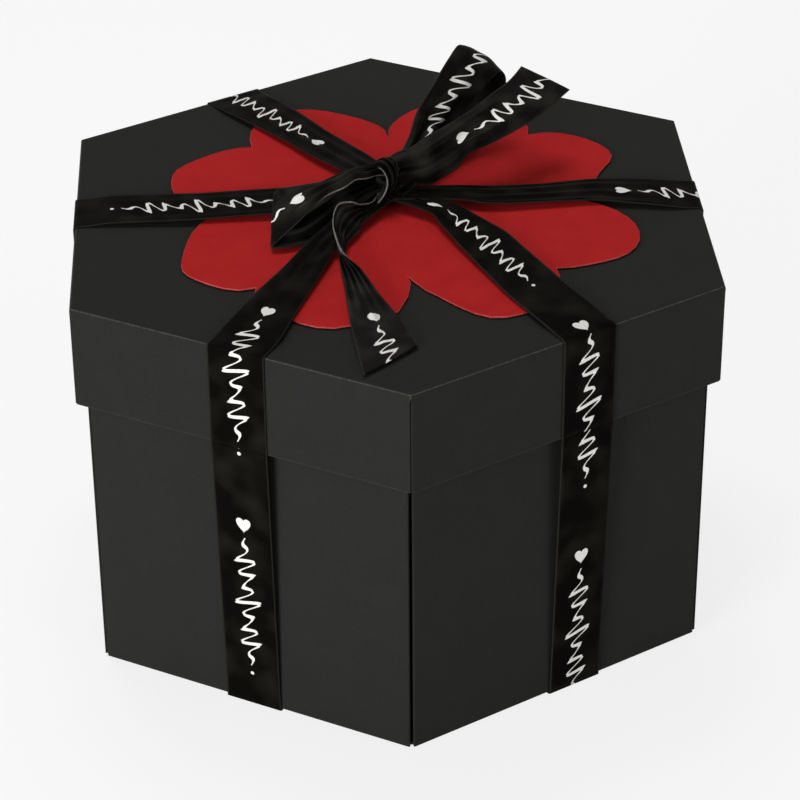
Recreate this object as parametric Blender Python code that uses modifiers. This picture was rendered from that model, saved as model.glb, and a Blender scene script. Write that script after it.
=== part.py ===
"""A closed hexagonal explosion box with a ribbon tied over its lid in a bow.

Three nested card layers stand one inside another on their bases and hold a small gift box. A lid with
a red sheet of four hearts keeps them shut. Everything is in metres, with +Z up and the underside of
the ribbon at zero. The box is turned so that a corner points along -Y.
"""

import math

import bmesh
import bpy
from mathutils import Matrix, Vector

COLLECTION_NAME = "explosion_box"
SIDES = 6
HEARTS = 4

# Lid
LID_CORNER_RADIUS = 0.0925
LID_CARD = 0.001
SKIRT_DEPTH = 0.027
LID_EDGE_ROUND = 0.0003
LID_EDGE_STEPS = 2

# Walls and bases, from the outer layer to the inner one
BOX_HEIGHT = 0.1054
LID_CLEARANCE = 0.0018
WALL_CARD = 0.0008
LAYER_NAMES = ("outer", "middle", "inner")
LAYER_STEP = 0.008
LAYER_DROP = 0.003

# Gift box in the middle, measured to the flats
GIFT_INRADIUS = 0.032
GIFT_HEIGHT = 0.046
GIFT_CARD = 0.0008
GIFT_LID_DEPTH = 0.015
GIFT_LID_PLAY = 0.0004

# Red sheet of hearts
SHEET_CARD = 0.0004
SHEET_MARGIN = 0.016
LOBE_DISTANCE_SHARE = 2.19
NOTCH_DISTANCE_SHARE = 2.1
LOBE_STEPS = 16
SHEET_SHIFT_SHARES = (0.15, 0.05)

# Ribbon
RIBBON_WIDTH = 0.0155
RIBBON_THICK = 0.00035
# How far each ribbon lies to the side of its wall's middle, as shares of its width, from the left
# front side anticlockwise.
RIBBON_SHIFT_SHARES = (0.0, 0.32, 0.13, 0.0, -0.06, -0.19)
GATHER_SHARE = 0.5
GATHER_REACH_SHARE = 0.69
ARM_RISE_SHARE = 0.127
ARM_RISE_REACH_SHARE = 0.667
ARM_RISE_STEPS = 6
ARM_SLOPE_SHARES = (0.4, 0.75)
ARM_BEND_INSET = 0.0006
ARM_BEND_STEPS = 4

# Knot and bow
BOW_REACH = 0.045
KNOT_SHARES = (0.227, 0.204, 0.28)
KNOT_ROUND_SHARE = 0.25
KNOT_ROUND_STEPS = 4
STATION_STEPS = 4
# Stations of the bow's ribbons, each the ribbon's middle as shares of the bow's reach, from the axis
# and the plane that the bow rests on, and then its half width as shares of half the ribbon's width.
SIDE_LOOP_SHARES = (
    ((-0.124, -0.040, 0.200), (0.01, -0.26, 0.00)),
    ((-0.271, -0.116, 0.213), (0.05, -0.46, 0.06)),
    ((-0.411, -0.182, 0.198), (0.12, -0.63, 0.05)),
    ((-0.542, -0.251, 0.169), (0.21, -0.88, -0.15)),
    ((-0.636, -0.311, 0.120), (0.04, -0.90, -0.36)),
    ((-0.653, -0.353, 0.062), (-0.01, -0.93, -0.21)),
    ((-0.569, -0.333, 0.036), (0.12, -0.92, -0.04)),
    ((-0.444, -0.258, 0.042), (0.15, -0.77, -0.04)),
    ((-0.293, -0.147, 0.064), (0.08, -0.50, -0.04)),
    ((-0.124, -0.049, 0.096), (0.03, -0.25, 0.00)),
)
BACK_LOOP_SHARES = (
    ((0.053, 0.118, 0.200), (0.17, 0.04, -0.10)),
    ((0.209, 0.311, 0.244), (0.44, 0.18, -0.23)),
    ((0.353, 0.529, 0.360), (0.65, 0.23, -0.44)),
    ((0.498, 0.702, 0.484), (0.67, 0.15, -0.58)),
    ((0.591, 0.831, 0.507), (0.70, 0.12, -0.61)),
    ((0.613, 0.880, 0.413), (0.74, 0.06, -0.54)),
    ((0.502, 0.764, 0.271), (0.80, -0.03, -0.44)),
    ((0.356, 0.578, 0.187), (0.65, -0.08, -0.28)),
    ((0.209, 0.347, 0.138), (0.39, -0.08, -0.13)),
    ((0.049, 0.116, 0.120), (0.17, -0.01, -0.04)),
)
FRONT_TAIL_SHARES = (
    ((-0.058, -0.118, 0.116), (-0.21, 0.03, 0.03)),
    ((-0.178, -0.200, 0.142), (-0.44, 0.12, 0.05)),
    ((-0.220, -0.289, 0.124), (-0.54, 0.03, 0.05)),
    ((-0.249, -0.431, 0.098), (-0.41, -0.10, 0.10)),
    ((-0.271, -0.627, 0.071), (-0.08, -0.34, 0.21)),
    ((-0.242, -0.827, 0.051), (0.28, -0.34, 0.10)),
    ((-0.184, -1.116, 0.033), (0.63, -0.13, 0.04)),
    ((-0.120, -1.467, 0.020), (0.90, 0.05, 0.00)),
    ((-0.036, -1.767, 0.020), (0.83, 0.67, 0.00)),
)
BACK_TAIL_SHARES = (
    ((0.124, 0.027, 0.164), (0.01, -0.31, -0.21)),
    ((0.244, 0.133, 0.200), (0.19, -0.52, -0.41)),
    ((0.442, 0.258, 0.280), (0.28, -0.62, -0.41)),
    ((0.618, 0.369, 0.351), (0.36, -0.70, -0.36)),
    ((0.809, 0.516, 0.416), (0.57, -0.70, -0.28)),
    ((1.004, 0.729, 0.449), (0.72, -0.67, -0.18)),
)

# Spaces between pieces that touch in the real box
GAP = 0.0003

# Looks: colour, roughness, metallic
BLACK_CARD = ("black_card", (0.030, 0.030, 0.027, 1.0), 0.62, 0.0)
RED_CARD = ("red_card", (0.42, 0.022, 0.022, 1.0), 0.55, 0.0)
BLACK_SATIN = ("black_satin_ribbon", (0.006, 0.006, 0.007, 1.0), 0.34, 0.0)

# Sizes that follow from the ones above
HALF_SIDE_ANGLE = math.pi / SIDES
FLAT_SHARE = math.cos(HALF_SIDE_ANGLE)
SIDE_SLOPE = math.tan(HALF_SIDE_ANGLE)
FIRST_SIDE_ANGLE = -math.tau / 3
LID_INRADIUS = LID_CORNER_RADIUS * FLAT_SHARE
RIM_HEIGHT = BOX_HEIGHT - SKIRT_DEPTH
WALL_INRADIUS = LID_INRADIUS - LID_CARD - LID_CLEARANCE
FLOOR_HEIGHT = RIBBON_THICK + GAP
LAYER_PITCH = WALL_CARD + GAP
SHEET_HEIGHT = BOX_HEIGHT + GAP
ARM_HEIGHT = SHEET_HEIGHT + SHEET_CARD + GAP
HALF_RIBBON = RIBBON_WIDTH / 2
SHEET_REACH = LID_INRADIUS - SHEET_MARGIN
LOBE_RADIUS = SHEET_REACH / (math.hypot(1.0, LOBE_DISTANCE_SHARE) + 1.0)
KNOT_WIDTH = BOW_REACH * KNOT_SHARES[0]
KNOT_DEPTH = BOW_REACH * KNOT_SHARES[1]
KNOT_HEIGHT = BOW_REACH * KNOT_SHARES[2]
ARM_START = max(KNOT_WIDTH, KNOT_DEPTH) / 2 + GAP
ARM_RISE = KNOT_HEIGHT * ARM_RISE_SHARE
ARM_RISE_REACH = BOW_REACH * ARM_RISE_REACH_SHARE
GATHER_REACH = LID_INRADIUS * GATHER_REACH_SHARE


def clear_scene():
    """Take away whatever the scene starts with."""
    for item in list(bpy.data.objects):
        bpy.data.objects.remove(item, do_unlink=True)


def make_collection():
    """Return the collection that holds every part."""
    collection = bpy.data.collections.new(COLLECTION_NAME)
    bpy.context.scene.collection.children.link(collection)
    return collection


def make_material(look):
    """Return one principled material from its name, colour, roughness and metallic value."""
    name, colour, roughness, metallic = look
    material = bpy.data.materials.new(name)
    material.use_nodes = True
    shader = material.node_tree.nodes["Principled BSDF"]
    shader.inputs["Base Color"].default_value = colour
    shader.inputs["Roughness"].default_value = roughness
    shader.inputs["Metallic"].default_value = metallic
    material.diffuse_color = colour
    return material


class Parts:
    """Adds named parts to the collection."""

    def __init__(self):
        self.collection = make_collection()
        self.black_card = make_material(BLACK_CARD)
        self.red_card = make_material(RED_CARD)
        self.satin = make_material(BLACK_SATIN)

    def add(self, name, data, material, place=(0.0, 0.0, 0.0), turn=0.0):
        """Add one object, moved to its place and turned about the vertical."""
        data.materials.append(material)
        part = bpy.data.objects.new(name, data)
        part.location = place
        part.rotation_euler = (0.0, 0.0, turn)
        self.collection.objects.link(part)
        return part


def mesh_from(shape, name):
    """Turn a finished bmesh into a mesh with its faces pointing out."""
    bmesh.ops.recalc_face_normals(shape, faces=shape.faces)
    mesh = bpy.data.meshes.new(name)
    shape.to_mesh(mesh)
    shape.free()
    return mesh


def thicken(part, thickness, offset):
    """Give an open surface its card or ribbon thickness."""
    solid = part.modifiers.new("thickness", "SOLIDIFY")
    solid.thickness = thickness
    solid.offset = offset
    solid.use_even_offset = True
    return part


def round_edges(part, width, steps):
    """Round the sharp edges of a part."""
    bevel = part.modifiers.new("rounded_edges", "BEVEL")
    bevel.width = width
    bevel.segments = steps
    bevel.limit_method = "ANGLE"
    return part


def side_angle(index):
    """Return the direction in which a side of the box faces."""
    return FIRST_SIDE_ANGLE + index * math.tau / SIDES


def side_point(index, inradius, height, shift=0.0):
    """Return a point on a side at a distance from the axis, a height and a shift along the side."""
    out = Vector((inradius, shift, height))
    return Matrix.Rotation(side_angle(index), 3, "Z") @ out


def hexagon(inradius, height):
    """Return the corners of a hexagon with a corner toward -Y."""
    radius = inradius / FLAT_SHARE
    corners = []
    for index in range(SIDES):
        angle = side_angle(index) + HALF_SIDE_ANGLE
        corners.append(Vector((radius * math.cos(angle), radius * math.sin(angle), height)))
    return corners


def block_mesh(name, low, high):
    """Return a box between two corners."""
    shape = bmesh.new()
    middle = (Vector(low) + Vector(high)) / 2
    size = Vector(high) - Vector(low)
    matrix = Matrix.Translation(middle) @ Matrix.Diagonal((*size, 1.0))
    bmesh.ops.create_cube(shape, size=1.0, matrix=matrix)
    return mesh_from(shape, name)


def plate_mesh(name, inradius, bottom, thickness):
    """Return a flat hexagonal plate."""
    shape = bmesh.new()
    floor = shape.faces.new([shape.verts.new(corner) for corner in hexagon(inradius, bottom)])
    raised = bmesh.ops.extrude_face_region(shape, geom=[floor])
    top = [item for item in raised["geom"] if isinstance(item, bmesh.types.BMVert)]
    bmesh.ops.translate(shape, verts=top, vec=(0.0, 0.0, thickness))
    return mesh_from(shape, name)


def cup_mesh(name, inradius, closed_height, open_height):
    """Return the outer surface of a hexagonal cup: one closed end and six sides."""
    shape = bmesh.new()
    closed = [shape.verts.new(corner) for corner in hexagon(inradius, closed_height)]
    rim = [shape.verts.new(corner) for corner in hexagon(inradius, open_height)]
    shape.faces.new(closed)
    for index in range(SIDES):
        following = (index + 1) % SIDES
        shape.faces.new((closed[index], closed[following], rim[following], rim[index]))
    bmesh.ops.recalc_face_normals(shape, faces=shape.faces)
    facing_out = closed_height > open_height
    end_face = max(shape.faces, key=lambda face: len(face.verts))
    end_face.normal_update()
    if (end_face.normal.z > 0) != facing_out:
        bmesh.ops.reverse_faces(shape, faces=shape.faces)
    mesh = bpy.data.meshes.new(name)
    shape.to_mesh(mesh)
    shape.free()
    return mesh


def add_cup(parts, name, inradius, card, closed_height, open_height):
    """Add a hexagonal cup of card, thickened to the inside."""
    cup = parts.add(name, cup_mesh(name, inradius, closed_height, open_height), parts.black_card)
    return thicken(cup, card, -1.0)


def outline_curve(name, points, thickness):
    """Return a filled flat outline with a thickness, lying on zero."""
    curve = bpy.data.curves.new(name, "CURVE")
    curve.dimensions = "2D"
    curve.fill_mode = "BOTH"
    curve.extrude = thickness / 2
    line = curve.splines.new("POLY")
    line.points.add(len(points) - 1)
    for point, (across, along) in zip(line.points, points):
        point.co = (across, along, 0.0, 1.0)
    line.use_cyclic_u = True
    return curve


def add_layer(parts, index):
    """Add a base and the six walls that stand around it."""
    layer = LAYER_NAMES[index]
    inradius = WALL_INRADIUS - index * LAYER_STEP
    bottom = FLOOR_HEIGHT + index * LAYER_PITCH
    top = BOX_HEIGHT - LID_CARD - GAP - index * LAYER_DROP
    inner = inradius - WALL_CARD
    base_name = f"{layer}_base"
    parts.add(base_name, plate_mesh(base_name, inner - GAP, bottom, WALL_CARD), parts.black_card)
    half_width = inner * SIDE_SLOPE - GAP
    low = (-WALL_CARD, -half_width, 0.0)
    high = (0.0, half_width, top - bottom)
    for side in range(SIDES):
        name = f"{layer}_panel_{side + 1}"
        place = side_point(side, inradius, bottom)
        parts.add(name, block_mesh(name, low, high), parts.black_card, place, side_angle(side))


def add_gift_box(parts):
    """Add the small box in the middle and its lift-off lid."""
    floor = FLOOR_HEIGHT + len(LAYER_NAMES) * LAYER_PITCH
    top = floor + GIFT_HEIGHT
    add_cup(parts, "gift_tray", GIFT_INRADIUS, GIFT_CARD, floor, top)
    lid_inradius = GIFT_INRADIUS + GIFT_LID_PLAY + GIFT_CARD
    lid_top = top + GAP + GIFT_CARD
    add_cup(parts, "gift_lid", lid_inradius, GIFT_CARD, lid_top, lid_top - GIFT_LID_DEPTH)


def add_lid(parts):
    """Add the folded card lid: the top and its six skirts."""
    lid = add_cup(parts, "lid_shell", LID_INRADIUS, LID_CARD, BOX_HEIGHT, RIM_HEIGHT)
    round_edges(lid, LID_EDGE_ROUND, LID_EDGE_STEPS)


def heart_outline():
    """Return the edge of four hearts that meet point to point in the middle."""
    middle = Vector((LOBE_RADIUS, LOBE_RADIUS * LOBE_DISTANCE_SHARE))
    across = middle.x + middle.y
    spread = math.sqrt(across**2 - 2 * (middle.length_squared - LOBE_RADIUS**2))
    join = (across + spread) / 2
    last = math.atan2(join - middle.y, join - middle.x)
    half = []
    for step in range(LOBE_STEPS):
        angle = math.pi + (last - math.pi) * step / (LOBE_STEPS - 1)
        half.append(middle + LOBE_RADIUS * Vector((math.cos(angle), math.sin(angle))))
    mirrored = [Vector((-point.x, point.y)) for point in reversed(half[1:])]
    one_heart = mirrored[1:] + [Vector((0.0, LOBE_RADIUS * NOTCH_DISTANCE_SHARE))] + half[1:]
    points = []
    for heart in range(HEARTS):
        turn = Matrix.Rotation(-heart * math.tau / HEARTS, 2)
        points.extend(turn @ point for point in one_heart)
    return points


def add_heart_sheet(parts):
    """Add the die-cut red sheet that is glued on the lid."""
    curve = outline_curve("heart_sheet", heart_outline(), SHEET_CARD)
    across, along = (SHEET_MARGIN * share for share in SHEET_SHIFT_SHARES)
    place = (across, along, SHEET_HEIGHT + SHEET_CARD / 2)
    parts.add("heart_sheet", curve, parts.red_card, place)


def ribbon_shift(side):
    """Return how far a ribbon lies to the side of its wall's middle."""
    return RIBBON_WIDTH * RIBBON_SHIFT_SHARES[side]


def under_outline(shift):
    """Return one band from its point under the middle out to the wall."""
    shoulder = GAP + HALF_RIBBON / SIDE_SLOPE
    end = WALL_INRADIUS
    return (
        (GAP, 0.0),
        (shoulder, -HALF_RIBBON),
        (end, shift - HALF_RIBBON),
        (end, shift + HALF_RIBBON),
        (shoulder, HALF_RIBBON),
    )


def add_ribbon_under(parts, side):
    """Add one band of ribbon under the base."""
    name = f"ribbon_under_{side + 1}"
    curve = outline_curve(name, under_outline(ribbon_shift(side)), RIBBON_THICK)
    place = (0.0, 0.0, RIBBON_THICK / 2)
    parts.add(name, curve, parts.satin, place, side_angle(side))


def add_ribbon_drop(parts, side):
    """Add the ribbon that hangs from the lid's edge to the foot of a wall.

    It leans out from the foot of the wall to the face of the lid, and folds down about its inner
    bottom edge.
    """
    foot = WALL_INRADIUS + GAP
    head = LID_INRADIUS + GAP
    rise = RIM_HEIGHT - GAP - RIBBON_THICK
    top = (head - foot, rise)
    outward = Vector((rise, foot - head)).normalized() * RIBBON_THICK
    shape = bmesh.new()
    rows = []
    for lean, height in ((0.0, 0.0), top, (top[0] + outward.x, top[1] + outward.y), tuple(outward)):
        left = shape.verts.new((lean, -HALF_RIBBON, height))
        right = shape.verts.new((lean, HALF_RIBBON, height))
        rows.append((left, right))
    for here, there in zip(rows, rows[1:] + rows[:1]):
        shape.faces.new((here[0], here[1], there[1], there[0]))
    shape.faces.new([row[0] for row in rows])
    shape.faces.new([row[1] for row in rows])
    name = f"ribbon_drop_{side + 1}"
    place = side_point(side, foot, RIBBON_THICK, ribbon_shift(side))
    parts.add(name, mesh_from(shape, name), parts.satin, place, side_angle(side))


def arm_path():
    """Return distance from the axis and height along the underside of a ribbon over the lid."""
    path = []
    for step in range(ARM_RISE_STEPS + 1):
        share = step / ARM_RISE_STEPS
        distance = ARM_START + (ARM_RISE_REACH - ARM_START) * share
        path.append((distance, ARM_HEIGHT + ARM_RISE * (1 - share) ** 2))
    path.append((SHEET_REACH + SHEET_MARGIN * ARM_SLOPE_SHARES[0], ARM_HEIGHT))
    path.append((SHEET_REACH + SHEET_MARGIN * ARM_SLOPE_SHARES[1], SHEET_HEIGHT))
    middle = (LID_INRADIUS - ARM_BEND_INSET, BOX_HEIGHT - ARM_BEND_INSET)
    radius = ARM_BEND_INSET + GAP
    for step in range(ARM_BEND_STEPS + 1):
        angle = math.pi / 2 * (1 - step / ARM_BEND_STEPS)
        path.append((middle[0] + radius * math.cos(angle), middle[1] + radius * math.sin(angle)))
    path.append((LID_INRADIUS + GAP, RIM_HEIGHT))
    return path


def strip_mesh(name, rows):
    """Return an open ribbon surface from pairs of edge points."""
    shape = bmesh.new()
    pairs = [(shape.verts.new(left), shape.verts.new(right)) for left, right in rows]
    for here, there in zip(pairs, pairs[1:]):
        shape.faces.new((here[0], here[1], there[1], there[0]))
    mesh = bpy.data.meshes.new(name)
    shape.to_mesh(mesh)
    shape.free()
    return mesh


def arm_half_width(distance):
    """Return half the width of a ribbon that is gathered toward the knot."""
    share = min(distance / GATHER_REACH, 1.0)
    gathered = GATHER_SHARE + (1 - GATHER_SHARE) * share * share * (3 - 2 * share)
    return min(HALF_RIBBON * gathered, distance * SIDE_SLOPE - GAP)


def add_ribbon_arm(parts, side):
    """Add the ribbon from the knot over the lid and down its skirt."""
    rows = []
    for distance, height in arm_path():
        half = arm_half_width(distance)
        share = min((distance - ARM_START) / (LID_INRADIUS - ARM_START), 1.0)
        middle = ribbon_shift(side) * share
        rows.append(((distance, middle - half, height), (distance, middle + half, height)))
    name = f"ribbon_arm_{side + 1}"
    arm = parts.add(name, strip_mesh(name, rows), parts.satin, turn=side_angle(side))
    thicken(arm, RIBBON_THICK, -1.0)


def smooth(stations):
    """Return more stations on a smooth line through the given ones."""
    fine = []
    last = len(stations) - 1
    for index in range(last):
        picks = (max(index - 1, 0), index, index + 1, min(index + 2, last))
        four = [stations[pick] for pick in picks]
        for step in range(STATION_STEPS):
            share = step / STATION_STEPS
            fine.append(tuple(between(values, share) for values in zip(*four)))
    fine.append(stations[last])
    return fine


def between(values, share):
    """Return a point between the middle two of four, on a smooth line through them."""
    before, first, second, after = values
    leave = (second - before) / 2
    arrive = (after - first) / 2
    square = share * share
    cube = square * share
    return (
        first * (2 * cube - 3 * square + 1)
        + second * (3 * square - 2 * cube)
        + leave * (cube - 2 * square + share)
        + arrive * (cube - square)
    )


def add_strip(parts, name, stations):
    """Add a free piece of ribbon along stations of centre and half width."""
    rest = Vector((0.0, 0.0, ARM_HEIGHT))
    placed = [
        (rest + Vector(centre) * BOW_REACH, Vector(half) * HALF_RIBBON) for centre, half in stations
    ]
    rows = [(centre - half, centre + half) for centre, half in smooth(placed)]
    strip = parts.add(name, strip_mesh(name, rows), parts.satin)
    thicken(strip, RIBBON_THICK, 0.0)


def add_knot(parts):
    """Add the knot as a rounded block of gathered ribbon."""
    low = (-KNOT_WIDTH / 2, -KNOT_DEPTH / 2, 0.0)
    high = (KNOT_WIDTH / 2, KNOT_DEPTH / 2, KNOT_HEIGHT)
    knot = parts.add("knot", block_mesh("knot", low, high), parts.satin, (0.0, 0.0, ARM_HEIGHT))
    round_edges(knot, KNOT_HEIGHT * KNOT_ROUND_SHARE, KNOT_ROUND_STEPS)


def add_bow(parts):
    """Add the knot with its two loops and two tails."""
    add_knot(parts)
    add_strip(parts, "loop_side", SIDE_LOOP_SHARES)
    add_strip(parts, "loop_back", BACK_LOOP_SHARES)
    add_strip(parts, "tail_front", FRONT_TAIL_SHARES)
    add_strip(parts, "tail_back", BACK_TAIL_SHARES)


def main():
    """Build the closed box with its ribbon."""
    clear_scene()
    parts = Parts()
    for index in range(len(LAYER_NAMES)):
        add_layer(parts, index)
    add_gift_box(parts)
    add_lid(parts)
    add_heart_sheet(parts)
    for side in range(SIDES):
        add_ribbon_under(parts, side)
        add_ribbon_drop(parts, side)
        add_ribbon_arm(parts, side)
    add_bow(parts)


main()
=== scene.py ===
"""Dresses a closed hexagonal explosion box: black card, a red sheet of hearts and a printed satin ribbon.

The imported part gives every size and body. Card pieces are copied from it and get softened edges, the
lid is folded from one sheet, and each length of ribbon is woven along a path by one geometry node
tree. Sizes are in metres unless a name ends in mm.
"""

import logging
import math
from dataclasses import dataclass
from enum import Enum

import bmesh
import bpy
from mathutils import Matrix, Vector


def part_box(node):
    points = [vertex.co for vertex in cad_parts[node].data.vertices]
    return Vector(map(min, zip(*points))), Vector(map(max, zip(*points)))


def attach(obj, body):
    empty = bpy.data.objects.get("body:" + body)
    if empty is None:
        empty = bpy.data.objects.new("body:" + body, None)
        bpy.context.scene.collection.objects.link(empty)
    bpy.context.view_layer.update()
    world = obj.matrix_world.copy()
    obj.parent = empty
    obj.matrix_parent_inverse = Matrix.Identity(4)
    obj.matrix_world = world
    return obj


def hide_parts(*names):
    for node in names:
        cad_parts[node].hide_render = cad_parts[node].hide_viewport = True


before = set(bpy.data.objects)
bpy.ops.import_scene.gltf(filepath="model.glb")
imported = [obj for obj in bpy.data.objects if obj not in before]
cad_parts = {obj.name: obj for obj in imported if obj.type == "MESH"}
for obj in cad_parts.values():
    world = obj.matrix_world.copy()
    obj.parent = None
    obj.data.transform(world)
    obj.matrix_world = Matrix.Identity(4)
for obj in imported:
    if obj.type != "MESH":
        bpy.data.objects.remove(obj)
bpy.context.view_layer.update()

LOG = logging.getLogger("explosion_box")
MM = 0.001
PIECE_GAP = 0.3 * MM
MERGE_REACH = 0.001 * MM
FLAT_ANGLE = math.radians(0.5)
SIDES = 6
SIDE_TURN = math.tau / SIDES
CORNER_SLOPE = math.tan(SIDE_TURN / 2)
FIRST_SIDE_ANGLE = -math.tau / 3
UV_NAME = "ribbon_uv"

MATH = "ShaderNodeMath"
VECTOR = "ShaderNodeVectorMath"
RANGE = "ShaderNodeMapRange"
MIX = "ShaderNodeMix"
NOISE = "ShaderNodeTexNoise"
MAIN_SETTING = {MATH: "operation", VECTOR: "operation", RANGE: "interpolation_type"}

Mesh = bmesh.types.BMesh
Node = bpy.types.Node
Object = bpy.types.Object
Material = bpy.types.Material
Socket = bpy.types.NodeSocket
Tree = bpy.types.NodeTree


# Helpers


def linear(code: str) -> tuple[float, float, float, float]:
    """Turn an sRGB hex colour into the linear values that a shader takes.

    Args:
        code: Colour as #rrggbb.

    Returns:
        Red, green, blue and an alpha of one.
    """
    parts = [int(code[place : place + 2], 16) / 255 for place in (1, 3, 5)]
    flat = [part / 12.92 if part <= 0.04045 else ((part + 0.055) / 1.055) ** 2.4 for part in parts]
    return (*flat, 1.0)


def add_node(tree: Tree, kind: str, inputs: dict | None = None, **settings: object) -> list[Socket]:
    """Add one node with its settings and links.

    Args:
        tree: Tree that gets the node.
        kind: Node type.
        inputs: Values or linked sockets by input name or number.
        settings: Properties of the node.

    Returns:
        The node's outputs.
    """
    node = tree.nodes.new(kind)
    for name, value in settings.items():
        setattr(node, name, value)
    for key, value in (inputs or {}).items():
        if isinstance(value, Socket):
            tree.links.new(value, node.inputs[key])
        else:
            node.inputs[key].default_value = value
    return node.outputs


def add_steps(tree: Tree, found: dict[str, Socket], steps: tuple) -> Socket:
    """Add the nodes that work a value out step by step.

    Args:
        tree: Tree that gets the nodes.
        found: Sockets by name, to which each step adds its result.
        steps: For each node the name of its result, its type, its main setting, and its inputs in
            order: numbers, or the names of sockets found before.

    Returns:
        The last result.
    """
    for name, kind, setting, *terms in steps:
        values = [found[term] if isinstance(term, str) else term for term in terms]
        settings = {MAIN_SETTING[kind]: setting}
        found[name] = add_node(tree, kind, dict(enumerate(values)), **settings)[0]
    return found[name]


def new_material(name: str) -> tuple[Material, Tree, Node]:
    """Make a material with an empty tree apart from its principled shader and output.

    Args:
        name: What the material is.

    Returns:
        The material, its tree and its principled shader.
    """
    material = bpy.data.materials.new(name)
    material.use_nodes = True
    tree = material.node_tree
    return material, tree, tree.nodes["Principled BSDF"]


def side_matrix(side: int) -> Matrix:
    """Return the turn that brings +X to the direction in which a side faces."""
    return Matrix.Rotation(FIRST_SIDE_ANGLE + side * SIDE_TURN, 4, "Z")


def object_from(shape: Mesh, name: str) -> Object:
    """Turn a finished bmesh into an object at the origin.

    Args:
        shape: The mesh, which is freed.
        name: Name of the piece.

    Returns:
        The linked object.
    """
    mesh = bpy.data.meshes.new(name)
    shape.to_mesh(mesh)
    shape.free()
    piece = bpy.data.objects.new(name, mesh)
    bpy.context.scene.collection.objects.link(piece)
    return piece


def settle(piece: Object) -> None:
    """Replace an object's mesh by what its modifiers make of it, and drop the modifiers.

    Args:
        piece: Object with live modifiers.
    """
    bpy.context.view_layer.update()
    graph = bpy.context.evaluated_depsgraph_get()
    made = bpy.data.meshes.new_from_object(
        piece.evaluated_get(graph), preserve_all_data_layers=True, depsgraph=graph
    )
    piece.modifiers.clear()
    piece.data = made
    made.name = piece.name


def merged_copy(node: str) -> Mesh:
    """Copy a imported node's mesh with its loose triangles joined into clean faces.

    Args:
        node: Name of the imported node.

    Returns:
        The joined copy.
    """
    shape = bmesh.new()
    shape.from_mesh(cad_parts[node].data)
    bmesh.ops.remove_doubles(shape, verts=shape.verts, dist=MERGE_REACH)
    bmesh.ops.dissolve_limit(
        shape, angle_limit=FLAT_ANGLE, verts=shape.verts, edges=shape.edges
    )
    return shape


def soften(shape: Mesh, edges: list, offset: float) -> None:
    """Round off some edges of a mesh in two steps."""
    bmesh.ops.bevel(shape, geom=edges, offset=offset, segments=2, affect="EDGES", profile=0.5)


def stand_in(piece: Object, body: str, nodes: tuple[str, ...]) -> None:
    """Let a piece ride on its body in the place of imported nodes.

    Args:
        piece: The piece.
        body: Body that it rides on.
        nodes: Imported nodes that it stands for.
    """
    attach(piece, body)
    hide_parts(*nodes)
    LOG.info("%s with %d faces on %s", piece.name, len(piece.data.polygons), body)


# Finishes


@dataclass(frozen=True, kw_only=True)
class Finish:
    """What every finish has: a colour, and a grain that varies its gloss and stands up as relief."""

    name: str
    colour: str
    roughness: tuple[float, float]
    relief: float
    relief_mm: float
    lustre: float
    grain: tuple[float, float] = (0.3, 0.7)

    def connect(self, tree: Tree, shader: Node, paint: Socket, gloss: Socket, raised: Socket) -> None:
        """Connect the shader.

        Args:
            tree: Tree of the material.
            shader: Its principled shader.
            paint: The colour.
            gloss: The grain that varies the gloss.
            raised: The grain that stands up.
        """
        ranges = (*self.grain, *self.roughness)
        rough = add_steps(tree, {"gloss": gloss}, (("rough", RANGE, "LINEAR", "gloss", *ranges),))
        height = {"Height": raised, "Strength": self.relief, "Distance": self.relief_mm * MM}
        bump = add_node(tree, "ShaderNodeBump", height)[0]
        for name, socket in (("Base Color", paint), ("Roughness", rough), ("Normal", bump)):
            tree.links.new(socket, shader.inputs[name])
        shader.inputs["Specular IOR Level"].default_value = self.lustre


@dataclass(frozen=True, kw_only=True)
class PaperFinish(Finish):
    """Dyed and pressed card: dull, with a fine tooth and a soft mottle."""

    mottle: str
    roughness: tuple[float, float] = (0.58, 0.74)
    relief: float = 0.35
    relief_mm: float = 0.06
    lustre: float = 0.01
    tooth_mm: float = 0.45
    tooth_roughness: float = 0.65
    cloud_mm: float = 9.0
    cloud_detail: float = 3.0
    cloud_share: float = 0.2
    tones: tuple[float, float] = (0.4, 0.8)

    def mottled(self, tree: Tree, place: Socket, pale: str) -> tuple[Socket, Socket]:
        """Return the card's tooth and its colour.

        Args:
            tree: Tree of the material.
            place: Object coordinates.
            pale: Colour of the palest spots.

        Returns:
            The fine noise and the mottled colour.
        """
        fine = {"Scale": 1 / (self.tooth_mm * MM), "Detail": 4.0, "Roughness": self.tooth_roughness}
        wide = {"Scale": 1 / (self.cloud_mm * MM), "Detail": self.cloud_detail}
        tooth, cloud = (add_node(tree, NOISE, {"Vector": place, **grain})[0] for grain in (fine, wide))
        steps = (
            ("tone", MATH, "MULTIPLY_ADD", "cloud", self.cloud_share, "tooth"),
            ("share", RANGE, "LINEAR", "tone", *self.tones),
        )
        share = add_steps(tree, {"tooth": tooth, "cloud": cloud}, steps)
        colours = {0: share, 6: linear(self.colour), 7: linear(pale)}
        return tooth, add_node(tree, MIX, colours, data_type="RGBA")[2]


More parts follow.
